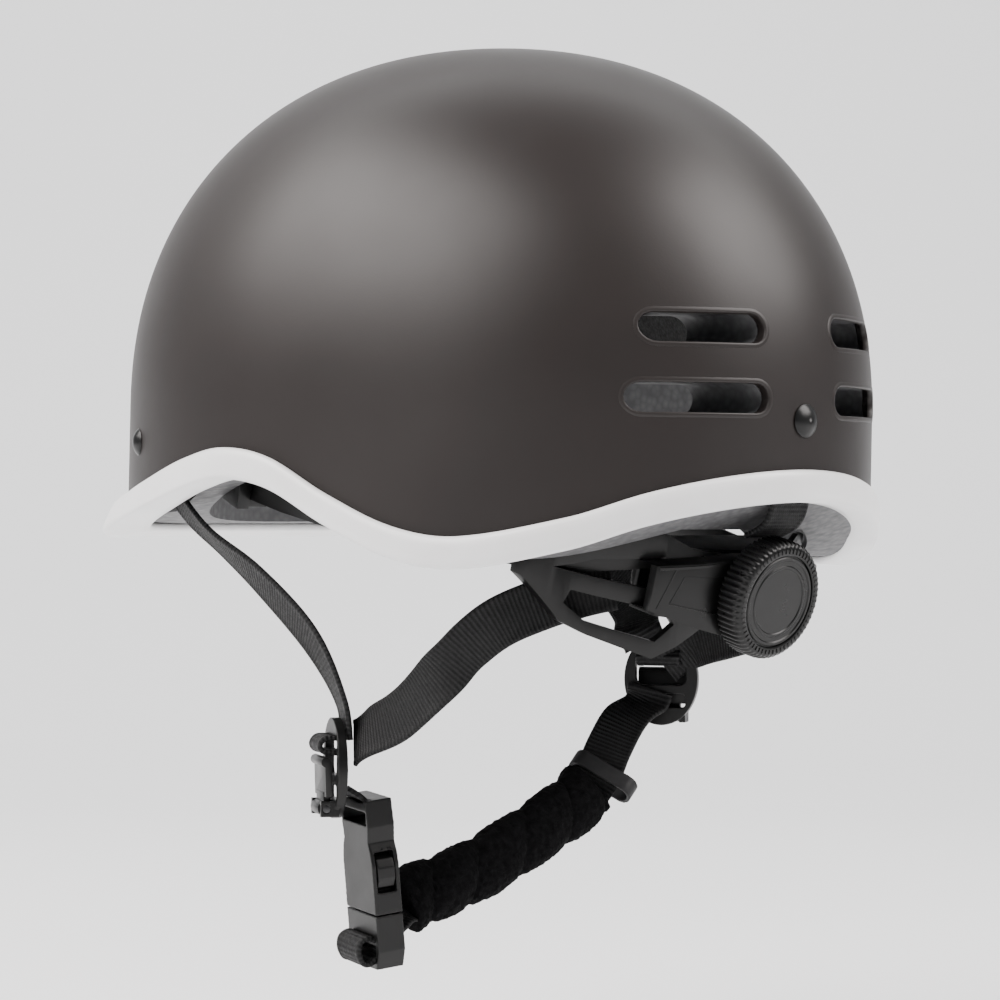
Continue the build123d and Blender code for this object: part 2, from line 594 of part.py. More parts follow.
# Band from its rack end to its pin: X, Y, middle Z on the left, middle Z on the right, height
BAND_STATIONS = [(18.3, -25.7, 7.7, -7.7, 2.6), (21, -25.8, 7.2, -7.2, 3.6), (30, -27.4, 6, -6, 5),
                 (43, -36.6, 3.5, -4, 7), (52, -46.4, 1, -3.5, 8), (58, -56.4, 0, -4, 8),
                 (64, -71, -1, -5, 8), (71, -95, -4, -6.5, 9), (74, -125, -7, -8, 9),
                 (72.3, -153, -9, -9, 9), (70.5, -176.5, -9.7, -9.7, 9)]
RACK_TEETH = range(-3, 5)


def band_strip(side):
    """Plain stretch of a side band, drawn on the wearer's left."""
    column = 2 if side == "left" else 3
    stations = [(Vector(row[0], row[1], row[column]), row[4]) for row in BAND_STATIONS]
    wires = []
    for index, (centre, height) in enumerate(stations):
        before = stations[max(index - 1, 0)][0]
        after = stations[min(index + 1, len(stations) - 1)][0]
        along = after - before
        across = Vector(along.Y, -along.X, 0).normalized() * (BAND_THICKNESS / 2)
        half = Vector(0, 0, height / 2)
        corners = [across + half, half - across, across * -1 - half, across - half]
        wires.append(Wire.make_polygon([centre + corner for corner in corners], close=True))
    return Solid.make_loft(wires, ruled=True)


def rack():
    """Toothed end of a band, above the pinion."""
    line = PINION_PITCH_RADIUS
    back, root, tip = line + 4, line + 1.7, line - 0.9
    first, last = RACK_TEETH[0] * RACK_PITCH - 1.7, BAND_STATIONS[0][0] + 0.3
    points = [(first, back), (first, root)]
    for index in RACK_TEETH:
        middle = index * RACK_PITCH
        points += [(middle - 1.25, root), (middle - 0.45, tip), (middle + 0.45, tip), (middle + 1.25, root)]
    points += [(last, root), (last, back)]
    face = Plane.XZ * make_face(Polyline(*points, close=True))
    return Pos(0, RACK_Y, 0) * extrude(face, BAND_THICKNESS / 2, both=True)


def side_band(side):
    """Toothed strip that runs from the dial housing to a pin at the temple."""
    toothed_end = rack() if side == "left" else mirror(rack(), Plane.XY)
    boss = Pos(*BAND_PIN) * Cylinder(BAND_BOSS_RADIUS, 9)
    bore = Pos(*BAND_PIN) * Cylinder(BAND_PIN_RADIUS + RUNNING_GAP, 20)
    band = toothed_end + band_strip(side) + boss - bore
    return FIT * (band if side == "left" else mirror(band, Plane.YZ))


def band_anchor(side):
    """Clevis on the liner that holds a band's pin."""
    x, y, z = BAND_PIN
    arms = [Pos(x + 3, y, z + s * 6.1) * Box(15, 9, 2.6) for s in (-1, 1)]
    foot = Pos(x + 11, y, z) * Box(11.6, 14, 14.8)
    bore = Pos(x, y, z) * Cylinder(BAND_PIN_RADIUS, 30)
    bracket = squeezed(FIT * (arms[0] + arms[1] + foot - bore)) & dome(LINER_SIDE, LINER_TOP)
    bracket = stretched(bracket)
    return bracket if side == "left" else mirror(bracket, Plane.YZ)


def band_pins():
    pin = Cylinder(BAND_PIN_RADIUS, 15.4)
    x, y, z = BAND_PIN
    return [FIT * Pos(side * x, y, z) * pin for side in (-1, 1)]


def all_parts():
    parts = {
        "outer_shell": outer_shell(),
        "eps_liner": eps_liner(),
        "rim_trim": rim_trim(),
        "strap_rivets": strap_rivets(),
        "anchor_plates": anchor_plates(),
        "pad_dots": pad_dots(),
        "front_strap_left": strap(FRONT_LEFT),
        "front_strap_right": strap(FRONT_RIGHT),
        "rear_strap_left": strap(REAR_LEFT),
        "rear_strap_right": strap(REAR_RIGHT),
        "hanger_strap": strap(HANGER, 17),
        "buckle_strap": strap(BUCKLE_STRAP),
        "chin_strap": strap(CHIN_STRAP),
        "chin_pad": chin_pad(),
        "strap_keeper": strap_keeper(),
        "buckle_socket": buckle_socket(),
        "buckle_tongue": buckle_tongue(),
        "prong_front": prong(-1),
        "prong_rear": prong(1),
        "dial_knob": dial_knob(),
        "dial_disc": dial_disc(),
        "drive_gear": drive_gear(),
        "dial_screw": dial_screw(),
        "detent_spring": detent_spring(),
        "housing_front": housing_front(),
        "housing_back": housing_back(),
        "housing_screws": housing_screws(),
        "fit_yoke": fit_yoke(),
        "yoke_pad": yoke_pad(),
        "band_pins": band_pins(),
    }
    parts.update(comfort_pads())
    for side in ("left", "right"):
        parts["divider_base_" + side] = divider_base(side)
        parts["divider_lever_" + side] = divider_lever(side)
        parts["lever_pin_" + side] = lever_pin(side)
        parts["side_band_" + side] = side_band(side)
        parts["band_anchor_" + side] = band_anchor(side)
    return parts


os.makedirs("parts", exist_ok=True)
for node, shape in all_parts().items():
    if isinstance(shape, (list, ShapeList)):
        shape = Compound(children=list(shape))
    export_step(shape, f"parts/{node}.step")
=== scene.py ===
"""Looks for the cycling helmet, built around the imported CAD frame. Lengths in this file are in millimetres."""

import json
import math

import bmesh
import bpy
from mathutils import Matrix, Vector, noise


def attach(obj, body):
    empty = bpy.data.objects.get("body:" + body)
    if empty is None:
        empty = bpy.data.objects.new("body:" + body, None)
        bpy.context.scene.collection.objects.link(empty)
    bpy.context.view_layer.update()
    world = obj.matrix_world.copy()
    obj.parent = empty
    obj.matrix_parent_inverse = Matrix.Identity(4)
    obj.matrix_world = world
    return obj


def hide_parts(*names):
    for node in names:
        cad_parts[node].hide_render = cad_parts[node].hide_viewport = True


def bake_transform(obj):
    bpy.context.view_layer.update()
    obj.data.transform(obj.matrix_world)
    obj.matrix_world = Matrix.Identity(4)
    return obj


MM = 0.001

# Shell, as in the part's own driving sizes
HALF_WIDTH = 107.5
HALF_LENGTH = 139.0
DOME_HEIGHT = 121.0
DOME_POWER = 2.18
CROWN_LEAN = math.radians(1.15)
SHELL_WALL = 2.4
RIM = [(-175, -41), (-145, -41.5), (-100, -40), (-63, -34), (-31, -26.5), (-10, -23.4), (12, -26.5),
       (36, -38), (59, -47.8), (78, -50.6), (106, -44.5), (122, -37), (145, -27), (175, -12)]
REAR_VENTS = [(34.3, 23.3, 38.4), (36.6, 1.9, 43.0)]
FRONT_VENTS = [(0, 46, 40), (0, 27, 46), (0, 8, 50)]
VENT_HEIGHT = 9.5
BRIM_TOP = -27.0
BRIM_DEPTH = 15.0
BRIM_HALF_REACH = 7.0
BRIM_DROOP = 2.6

# Dial housing, in the dial's own frame
HOUSING_RADIUS = 74.0
HOUSING_CENTRE_Y = -83.5
PANEL_LINE = [(13, 5.2), (28.5, 3.8), (31.5, -5.0), (13, -7.2)]
SPLIT_LINE = [(31.2, 6.4), (35.0, -7.2)]
TOP_LINE = [(10, 10.1), (23, 7.8), (36.3, 5.5)]

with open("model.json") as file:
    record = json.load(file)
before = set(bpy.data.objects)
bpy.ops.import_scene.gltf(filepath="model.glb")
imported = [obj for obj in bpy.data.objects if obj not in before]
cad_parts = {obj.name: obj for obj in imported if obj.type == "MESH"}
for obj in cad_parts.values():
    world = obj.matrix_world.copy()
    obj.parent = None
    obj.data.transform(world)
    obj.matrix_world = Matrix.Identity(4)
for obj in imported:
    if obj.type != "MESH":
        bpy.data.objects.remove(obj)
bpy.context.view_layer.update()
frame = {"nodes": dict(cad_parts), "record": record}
NODES = frame["nodes"]


# ---------------------------------------------------------------- shaders

class Shader:
    """A Principled material with short helpers for procedural detail."""

    def __init__(self, name, color, roughness, **sockets):
        self.material = bpy.data.materials.new(name)
        self.material.use_nodes = True
        self.tree = self.material.node_tree
        self.bsdf = self.tree.nodes["Principled BSDF"]
        self.bsdf.inputs["Base Color"].default_value = (*color, 1)
        self.bsdf.inputs["Roughness"].default_value = roughness
        for socket, value in sockets.items():
            self.bsdf.inputs[socket.replace("_", " ")].default_value = value
        self.place = self.add("ShaderNodeTexCoord").outputs["Object"]

    def add(self, kind, **inputs):
        node = self.tree.nodes.new(kind)
        for name, value in inputs.items():
            self.feed(node.inputs[name.replace("_", " ")], value)
        return node

    def feed(self, socket, value):
        if isinstance(value, bpy.types.NodeSocket):
            self.tree.links.new(value, socket)
        else:
            socket.default_value = value

    def noise(self, scale, detail=3.0, place=None):
        node = self.add("ShaderNodeTexNoise", Vector=place or self.place, Scale=scale, Detail=detail)
        return node.outputs["Fac"]

    def cells(self, scale, output="Distance", place=None):
        node = self.add("ShaderNodeTexVoronoi", Vector=place or self.place, Scale=scale)
        return node.outputs[output]

    def math(self, operation, a, b=0.0):
        node = self.tree.nodes.new("ShaderNodeMath")
        node.operation = operation
        self.feed(node.inputs[0], a)
        self.feed(node.inputs[1], b)
        return node.outputs[0]

    def spread(self, fac, low, high, to_low, to_high):
        node = self.add("ShaderNodeMapRange", Value=fac)
        for name, value in (("From Min", low), ("From Max", high), ("To Min", to_low), ("To Max", to_high)):
            node.inputs[name].default_value = value
        return node.outputs[0]

    def mixed(self, fac, dark, light, low=0.3, high=0.7):
        node = self.tree.nodes.new("ShaderNodeMix")
        node.data_type = "RGBA"
        self.feed(node.inputs[0], self.spread(fac, low, high, 0.0, 1.0))
        node.inputs[6].default_value = (*dark, 1)
        node.inputs[7].default_value = (*light, 1)
        return node.outputs[2]

    def color(self, fac, dark, light, low=0.3, high=0.7):
        self.feed(self.bsdf.inputs["Base Color"], self.mixed(fac, dark, light, low, high))

    def roughness(self, fac, low, high):
        self.feed(self.bsdf.inputs["Roughness"], self.spread(fac, 0.3, 0.7, low, high))

    def bump(self, height, distance, strength=1.0):
        node = self.add("ShaderNodeBump", Height=height, Distance=distance * MM, Strength=strength)
        if self.bsdf.inputs["Normal"].links:
            self.feed(node.inputs["Normal"], self.bsdf.inputs["Normal"].links[0].from_socket)
        self.feed(self.bsdf.inputs["Normal"], node.outputs[0])


def shell_paint():
    """Soft-touch charcoal paint: fine orange peel, faint dust and rubbed patches."""
    s = Shader("shell_paint", (0.012, 0.0088, 0.008), 0.5, Specular_IOR_Level=0.38)
    s.color(s.noise(9), (0.0105, 0.0076, 0.007), (0.0135, 0.0100, 0.0092))
    s.roughness(s.noise(22, 6), 0.42, 0.48)
    s.bump(s.noise(1500, 2), 0.03, 0.5)
    s.bump(s.noise(160, 3), 0.04, 0.25)
    return s.material


def trim_paint():
    """White satin rim moulding with slight handling marks."""
    s = Shader("trim_white", (0.82, 0.82, 0.83), 0.33, Coat_Weight=0.15, Coat_Roughness=0.2)
    s.color(s.noise(35, 6), (0.78, 0.775, 0.77), (0.84, 0.84, 0.845), 0.25, 0.6)
    s.roughness(s.noise(60, 5), 0.28, 0.42)
    s.bump(s.noise(400, 3), 0.03, 0.3)
    return s.material


def foam():
    """Expanded bead foam: pressed cells with dark joints."""
    s = Shader("foam_grey", (0.10, 0.10, 0.105), 0.75)
    edge = s.cells(380)
    s.color(edge, (0.13, 0.13, 0.134), (0.085, 0.086, 0.089), 0.1, 0.75)
    s.roughness(s.noise(300), 0.55, 0.85)
    s.bump(s.math("MULTIPLY", edge, -1.0), 0.22, 0.5)
    s.bump(s.noise(1200), 0.05, 0.4)
    return s.material


def plastic(name, level, rough, grain=2200, grain_depth=0.02):
    """Moulded black plastic with a fine sparked grain and handling wear."""
    s = Shader(name, (level, level * 1.03, level * 1.05), rough, Specular_IOR_Level=0.28)
    s.color(s.noise(45, 5), (level * 0.85,) * 3, (level * 1.15, level * 1.18, level * 1.2))
    s.roughness(s.noise(120, 6), rough - 0.03, rough + 0.05)
    s.bump(s.noise(grain, 2), grain_depth, 0.6)
    s.bump(s.noise(70, 2), 0.05, 0.15)
    return s.material


def webbing():
    """Ribbed webbing, with painted shade in the grooves between the ribs. Its UV map holds millimetres across and
    along the strap.
    """
    s = Shader("webbing_black", (0.006, 0.006, 0.006), 0.6, Specular_IOR_Level=0.25)
    uv = s.add("ShaderNodeTexCoord").outputs["UV"]
    split = s.add("ShaderNodeSeparateXYZ", Vector=uv)
    across, along = split.outputs[0], split.outputs[1]
    rib = s.math("SINE", s.math("MULTIPLY", along, 2 * math.pi / 1.4))
    cord = s.math("SINE", s.math("MULTIPLY", across, 2 * math.pi / 0.9))
    weave_relief_and_groove_shade = s.math("MULTIPLY", rib, s.spread(cord, -1, 1, 0.55, 1.0))
    # The weave's colour follows its relief: painted shade in the grooves between ribs, and lighter rib tops as
    # painted highlight.
    s.color(weave_relief_and_groove_shade, (0.0015, 0.0015, 0.0018), (0.011, 0.0112, 0.0115), -0.6, 0.8)
    s.roughness(s.noise(900, 4), 0.55, 0.8)
    s.bump(weave_relief_and_groove_shade, 0.16, 0.8)
    s.bump(s.noise(3500, 2), 0.05, 0.5)
    return s.material


def knit(name, level, sheen):
    """Brushed knit over foam, with painted shade in the hollows between the loops."""
    s = Shader(name, (level,) * 3, 0.85, Sheen_Weight=sheen, Sheen_Roughness=0.45)
    loops = s.cells(1100)
    # Colour follows the loop relief: painted shade darkens the hollows between loops, and the raised loop centres
    # are lighter.
    s.color(loops, (level * 1.5,) * 3, (level * 0.5,) * 3, 0.1, 0.8)
    s.roughness(s.noise(500), 0.75, 0.95)
    s.bump(s.math("MULTIPLY", loops, -1.0), 0.18, 0.7)
    s.bump(s.noise(260, 4), 0.35, 0.5)
    return s.material


def fleece():
    """Short black pile that lies in small tufts."""
    s = Shader("fleece_black", (0.003, 0.003, 0.003), 0.95, Specular_IOR_Level=0.08)
    s.color(s.noise(420, 5), (0.001, 0.001, 0.0012), (0.0055, 0.0055, 0.006))
    s.roughness(s.noise(600), 0.85, 1.0)
    s.bump(s.noise(700, 6), 0.8, 0.9)
    s.bump(s.noise(2600, 3), 0.25, 0.8)
    return s.material


def steel():
    """Black-oxide steel for the pins and screws."""
    s = Shader("steel", (0.06, 0.06, 0.062), 0.4, Metallic=1.0)
    s.color(s.noise(80, 5), (0.045, 0.045, 0.047), (0.08, 0.08, 0.083))
    s.roughness(s.noise(900, 4), 0.32, 0.48)
    s.bump(s.noise(1800, 2), 0.01, 0.5)
    return s.material


def rubber():
    """Dull black rubber of the dial's grip."""
    s = Shader("rubber_black", (0.005, 0.005, 0.0055), 0.5, Specular_IOR_Level=0.3)
    s.color(s.noise(120, 5), (0.010, 0.010, 0.011), (0.020, 0.020, 0.021))
    s.roughness(s.noise(300, 4), 0.5, 0.7)
    s.bump(s.noise(1400, 3), 0.04, 0.6)
    return s.material


MATERIALS = {
    "shell_charcoal": shell_paint(),
    "foam_grey": foam(),
    "trim_white": trim_paint(),
    "rivet_black": plastic("rivet_black", 0.006, 0.30, 3000, 0.008),
    "plate_grey": plastic("plate_grey", 0.09, 0.5),
    "dot_black": knit("dot_black", 0.02, 0.05),
    "webbing_black": webbing(),
    "fleece_black": fleece(),
    "pad_fabric": knit("pad_fabric", 0.012, 0.1),
    "rubber_black": rubber(),
    "plastic_black": plastic("plastic_black", 0.0042, 0.36),
    "plastic_gloss": plastic("plastic_gloss", 0.0035, 0.30, 2600, 0.010),
    "steel": steel(),
}
SLOTS = {row["node"]: row["material_slot"] for row in frame["record"]["subparts"]}


# ---------------------------------------------------------------- meshes

def new_object(name, vertices, faces, smooth_angle=35):
    """Mesh object from vertices in millimetres."""
    mesh = bpy.data.meshes.new(name)
    mesh.from_pydata([Vector(v) * MM for v in vertices], [], faces)
    mesh.validate()
    obj = bpy.data.objects.new(name, mesh)
    bpy.context.collection.objects.link(obj)
    shade(obj, smooth_angle)
    return obj


def shade(obj, angle):
    """Smooth shading with hard edges kept over this angle."""
    bm = bmesh.new()
    bm.from_mesh(obj.data)
    bmesh.ops.recalc_face_normals(bm, faces=bm.faces)
    for face in bm.faces:
        face.smooth = True
    for edge in bm.edges:
        edge.smooth = len(edge.link_faces) == 2 and edge.calc_face_angle(0) < math.radians(angle)
    bm.to_mesh(obj.data)
    bm.free()


def dress(obj, node, body, *more_nodes):
    """Give the piece its slot's material, let it ride a body and stand for its CAD nodes."""
    obj.data.materials.clear()
    obj.data.materials.append(MATERIALS[SLOTS[node]])
    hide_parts(node, *more_nodes)
    if body:
        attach(obj, body)
    return obj


def apply_modifiers(obj):
    bpy.context.view_layer.update()
    evaluated = obj.evaluated_get(bpy.context.evaluated_depsgraph_get())
    mesh = bpy.data.meshes.new_from_object(evaluated)
    obj.modifiers.clear()
    obj.data = mesh


def loop_faces(rows, columns, closed_rows=False, closed_columns=True):
    """Quads over a grid of rows by columns."""
    faces = []
    for i in range(rows if closed_rows else rows - 1):
        for j in range(columns if closed_columns else columns - 1):
            a, b = i * columns + j, i * columns + (j + 1) % columns
            k = (i + 1) % rows
            faces.append((a, b, k * columns + (j + 1) % columns, k * columns + j))
    return faces


def leaned(x, y, z):
    """From the dome's own upright frame to the helmet's frame."""
    return Vector((x, y * math.cos(CROWN_LEAN) + z * math.sin(CROWN_LEAN),
                   z * math.cos(CROWN_LEAN) - y * math.sin(CROWN_LEAN)))


def rim_height(y):
    """Lower edge of the trim at this Y, as a smooth curve through RIM."""
    i = max(1, min(len(RIM) - 3, next(k for k in range(1, len(RIM)) if RIM[k][0] > y) - 1))
    p = [RIM[i + k] for k in (-1, 0, 1, 2)]
    t = (y - p[1][0]) / (p[2][0] - p[1][0])
    span = p[2][0] - p[1][0]
    m1 = (p[2][1] - p[0][1]) / (p[2][0] - p[0][0]) * span
    m2 = (p[3][1] - p[1][1]) / (p[3][0] - p[1][0]) * span
    return ((2 * t ** 3 - 3 * t ** 2 + 1) * p[1][1] + (t ** 3 - 2 * t ** 2 + t) * m1
            + (-2 * t ** 3 + 3 * t ** 2) * p[2][1] + (t ** 3 - t ** 2) * m2)


def dome_point(around, up, gap=0.0):
    """Point on the dome: around from the rear towards the left, up from 0 at the side to 90 at the crown."""
    a, e = math.radians(around), math.radians(up)
    power = 2 / DOME_POWER
    side = (HALF_WIDTH - gap) * math.cos(e) ** power
    stretch = HALF_LENGTH / HALF_WIDTH
    return Vector((side * math.sin(a), side * math.cos(a) * stretch, (DOME_HEIGHT - gap) * math.sin(e) ** power))


def dome_surface(x, z, side):
    """Point of the leaned dome at this X and Z, on the rear (side 1) or front (side -1), found by bisection."""
    low, high = 0.0, HALF_LENGTH
    for _ in range(40):
        y = (low + high) / 2 * side
        yy = y * math.cos(CROWN_LEAN) - z * math.sin(CROWN_LEAN)
        zz = max(0.0, y * math.sin(CROWN_LEAN) + z * math.cos(CROWN_LEAN))
        reach = math.hypot(x / HALF_WIDTH, yy / HALF_LENGTH) ** DOME_POWER + (zz / DOME_HEIGHT) ** DOME_POWER
        low, high = (abs(y), high) if reach < 1 else (low, abs(y))
    return Vector((x, (low + high) / 2 * side, z))


def shell():
    """Outer shell as a double-walled dome with its vents cut through."""
    columns, rings, skirt = 192, 56, 14
    points = []
    for gap in (0.0, SHELL_WALL):
        for k in range(skirt):
            for j in range(columns):
                p = dome_point(360 * j / columns, 0, gap)
                bottom = rim_height(p.y) + 3.4 + math.sin(CROWN_LEAN) * p.y
                points.append(leaned(p.x, p.y, bottom * (1 - k / skirt)))
        for k in range(rings):
            up = 90 * k / rings
            points += [leaned(*dome_point(360 * j / columns, up, gap)) for j in range(columns)]
        points.append(leaned(0, 0, DOME_HEIGHT - gap))
    rows = skirt + rings
    size = rows * columns + 1
    faces = loop_faces(rows, columns)
    faces += [((rows - 1) * columns + j, (rows - 1) * columns + (j + 1) % columns, size - 1)
              for j in range(columns)]
    faces += [tuple(size + v for v in reversed(face)) for face in faces]
    faces += [(j, size + j, size + (j + 1) % columns, (j + 1) % columns) for j in range(columns)]
    obj = new_object("shell_look", points, faces)
    cutter = vent_cutter()
    cut = obj.modifiers.new("vents", "BOOLEAN")
    cut.object = cutter
    cut.solver = "EXACT"
    apply_modifiers(obj)
    bpy.data.objects.remove(cutter)
    shade(obj, 40)
    return obj


def vent_rows():
    rows = [(side * x, z, length, 1) for x, z, length in REAR_VENTS for side in (-1, 1)]
    return rows + [(x, z, length, -1) for x, z, length in FRONT_VENTS]


def stadium(length, height, steps=10):
    """Round-ended slot outline in X and Z about its centre."""
    r, half = height / 2, (length - height) / 2
    arc = [math.pi * k / steps - math.pi / 2 for k in range(steps + 1)]
    right = [(half + r * math.cos(a), r * math.sin(a)) for a in arc]
    flat = 8
    top = [(half - 2 * half * k / flat, r) for k in range(1, flat)]
    left = [(-x, -z) for x, z in right]
    bottom = [(-x, -z) for x, z in top]
    return right + top + left + bottom


def vent_cutter():
    points, faces = [], []
    for x, z, length, side in vent_rows():
        outline = stadium(length, VENT_HEIGHT)
        n, base = len(outline), len(points)
        for y in (60 * side, 160 * side):
            points += [(x + u, y, z + v) for u, v in outline]
        faces += [(base + k, base + (k + 1) % n, base + n + (k + 1) % n, base + n + k) for k in range(n)]
        faces += [tuple(base + k for k in reversed(range(n))), tuple(base + n + k for k in range(n))]
    return new_object("vent_cutter", points, faces)


def swept_ring(name, centres, outwards, profile):
    """Closed ring: at each centre the profile's (away from the hole, outward) offsets are placed."""
    points = []
    count = len(centres)
    for k, centre in enumerate(centres):
        along = (centres[(k + 1) % count] - centres[k - 1]).normalized()
        out = (outwards[k] - along * outwards[k].dot(along)).normalized()
        away = along.cross(out)
        points += [centre + away * u + out * w for u, w in profile]
    return new_object(name, points, loop_faces(count, len(profile), True, True), 60)


def vent_lips():
    """Thin raised lip round each vent, moulded with the shell."""
    profile = [(-0.4, -1.6), (-0.4, -0.05), (-0.15, 0.16), (0.2, 0.22), (0.7, 0.16), (1.2, 0.0), (1.2, -0.5)]
    lips = []
    for index, (x, z, length, side) in enumerate(vent_rows()):
        outline = stadium(length + 0.4, VENT_HEIGHT + 0.4)
        centres = [dome_surface(x + u, z + v, side) for u, v in outline]
        outwards = [Vector((p.x / HALF_WIDTH ** 2, p.y / HALF_LENGTH ** 2, 0.9 * p.z / DOME_HEIGHT ** 2))
                    for p in centres]
        centre = sum(centres, Vector()) / len(centres)
        lip = swept_ring(f"vent_lip_{index}", centres, outwards, profile)
        grow = sum((v.co / MM - centre).length for v in lip.data.vertices)
        flipped = [(-u, w) for u, w in profile]
        test = swept_ring("test_lip", centres, outwards, flipped)
        if sum((v.co / MM - centre).length for v in test.data.vertices) > grow:
            lip.data = test.data
        bpy.data.objects.remove(test)
        lips.append(lip)
    return lips


def joined(name, objects):
    bm = bmesh.new()
    for obj in objects:
        bm.from_mesh(obj.data)
        bpy.data.objects.remove(obj)
    mesh = bpy.data.meshes.new(name)
    bm.to_mesh(mesh)
    bm.free()
    result = bpy.data.objects.new(name, mesh)
    bpy.context.collection.objects.link(result)
    return result


TRIM_PROFILE = [(-7.9, 0.9), (-7.2, 0.15), (-4, 0.0), (1.2, 0.0), (2.3, 0.5), (2.85, 1.6), (3.0, 3.5), (3.0, 6.5),
                (2.75, 8.6), (2.2, 9.6), (1.3, 10.1), (0.45, 9.9), (0.1, 9.0), (0.05, 3.0), (-3, 2.9), (-7.2, 2.9),
                (-7.9, 2.2)]


def trim():
    """Rim band with rounded edges that grows a small brim at the front."""
    count = 288
    points = []
    for j in range(count):
        a = 2 * math.pi * j / count
        for out, rise in TRIM_PROFILE:
            x, y = (HALF_WIDTH + out) * math.sin(a), (HALF_LENGTH + out) * math.cos(a)
            z = rim_height(HALF_LENGTH * math.cos(a)) + rise
            share = max(0.0, min(1.1, (BRIM_TOP - z) / BRIM_DEPTH)) * (1 if out > -3 else 0.0)
            front = max(0.0, min(1.0, (-math.cos(a) + 0.1) / 0.6))
            reach = share * BRIM_HALF_REACH * (1 - math.cos(a)) * front ** 2 * (3 - 2 * front)
            droop = BRIM_DROOP * share ** 2 * front ** 2
            points.append(leaned(x, y - reach, z - droop + math.sin(CROWN_LEAN) * y))
    return new_object("rim_trim_look", points, loop_faces(count, len(TRIM_PROFILE), True, True), 60)


def spline(points, t):
    """Catmull-Rom through the points at t, where whole numbers are the points."""
    i = max(0, min(len(points) - 2, int(t)))
    f = t - i
    p = [points[max(0, min(len(points) - 1, i + k))] for k in (-1, 0, 1, 2)]
    return (p[1] * 2 + (p[2] - p[0]) * f + (p[0] * 2 - p[1] * 5 + p[2] * 4 - p[3]) * f ** 2
            + (p[1] * 3 - p[0] - p[2] * 3 + p[3]) * f ** 3) * 0.5


def line_frame(centres, sides, t):
    """Centre, direction across and direction off the face at t along a line."""
    centre = spline(centres, t)
    ahead = spline(centres, min(t + 0.05, len(centres) - 1.0))
    along = (ahead - spline(centres, max(t - 0.05, 0))).normalized()
    side = spline(sides, t)
    side = (side - along * side.dot(along)).normalized()
    return centre, side, along.cross(side)


def section(width, thickness):
    """Webbing section: flat, with slightly fuller woven edges."""
    w, t = width / 2, thickness / 2
    top = [(-w, t * 0.5), (-w + 0.35, t), (-w + 1.4, t), (-w + 1.9, t * 0.8), (-w / 2, t * 0.84), (0, t * 0.84),
           (w / 2, t * 0.84), (w - 1.9, t * 0.8), (w - 1.4, t), (w - 0.35, t), (w, t * 0.5)]
    return top + [(u, -v) for u, v in reversed(top)]


def ribbon(name, stations, width=16.0, thickness=1.6):
    """Webbing through stations of (centre, direction across), with a UV map in millimetres."""
    centres = [Vector(c) for c, _ in stations]
    sides = [Vector(s).normalized() for _, s in stations]
    steps = 10 * (len(stations) - 1)
    outline = section(width, thickness)
    points, lengths, total, last = [], [], 0.0, None
    for k in range(steps + 1):
        centre, side, face = line_frame(centres, sides, k / 10)
        total += (centre - last).length if last else 0.0
        last = centre
        lengths.append(total)
        points += [centre + side * u + face * v for u, v in outline]
    n = len(outline)
    faces = loop_faces(steps + 1, n)
    faces += [tuple(reversed(range(n))), tuple(steps * n + k for k in range(n))]
    obj = new_object(name, points, faces, 50)
    layer = obj.data.uv_layers.new(name="strap")
    for face in obj.data.polygons:
        for corner in face.loop_indices:
            vertex = obj.data.loops[corner].vertex_index
            layer.data[corner].uv = (outline[vertex % n][0], lengths[vertex // n])
    return obj


def bevelled(node, width):
    """Copy of the CAD node's shape with its edges rounded."""
    mesh = NODES[node].data.copy()
    obj = bpy.data.objects.new(node + "_look", mesh)
    bpy.context.collection.objects.link(obj)
    bm = bmesh.new()
    bm.from_mesh(mesh)
    bmesh.ops.remove_doubles(bm, verts=bm.verts, dist=0.00001)
    bmesh.ops.dissolve_limit(bm, angle_limit=math.radians(0.6), verts=bm.verts, edges=bm.edges)
    bmesh.ops.recalc_face_normals(bm, faces=bm.faces)
    bm.to_mesh(mesh)
    bm.free()
    bevel = obj.modifiers.new("edges", "BEVEL")
    bevel.width = width * MM
    bevel.segments = 2
    bevel.limit_method = "ANGLE"
    bevel.angle_limit = math.radians(30)
    bevel.use_clamp_overlap = True
    apply_modifiers(obj)
    shade(obj, 35)
    return obj


def hard_piece(node, body, width=0.35):
    return dress(bevelled(node, width), node, body)


def soft_moulding(node, body, voxel, rounds):
    """Moulded piece with generously rounded edges, from a fine remesh of the CAD node."""
    obj = bpy.data.objects.new(node + "_look", NODES[node].data.copy())
    bpy.context.collection.objects.link(obj)
    remesh = obj.modifiers.new("remesh", "REMESH")
    remesh.mode = "VOXEL"
    remesh.voxel_size = voxel * MM
    soften = obj.modifiers.new("soften", "SMOOTH")
    soften.factor = 0.5
    soften.iterations = rounds
    apply_modifiers(obj)
    shade(obj, 80)
    return dress(obj, node, body)


def soft_pad(node, body, cap=3.0):
    """Foam pad under fabric, swollen by a short cloth simulation and then relaxed."""
    obj = bpy.data.objects.new(node + "_look", NODES[node].data.copy())
    bpy.context.collection.objects.link(obj)
    remesh = obj.modifiers.new("remesh", "REMESH")
    remesh.mode = "VOXEL"
    remesh.voxel_size = 2.2 * MM
    apply_modifiers(obj)
    shrink = obj.modifiers.new("soften", "SMOOTH")
    shrink.factor = 0.6
    shrink.iterations = 8
    apply_modifiers(obj)
    start = [v.co.copy() for v in obj.data.vertices]
    swell(obj)
    for vertex, home in zip(obj.data.vertices, start):
        move = vertex.co - home
        if move.length > cap * MM * 0.25:
            vertex.co = home + move.normalized() * cap * MM * 0.25
    fine = obj.modifiers.new("fine", "SUBSURF")
    fine.levels = 1
    apply_modifiers(obj)
    shade(obj, 80)
    dress(obj, node, body)
    return obj


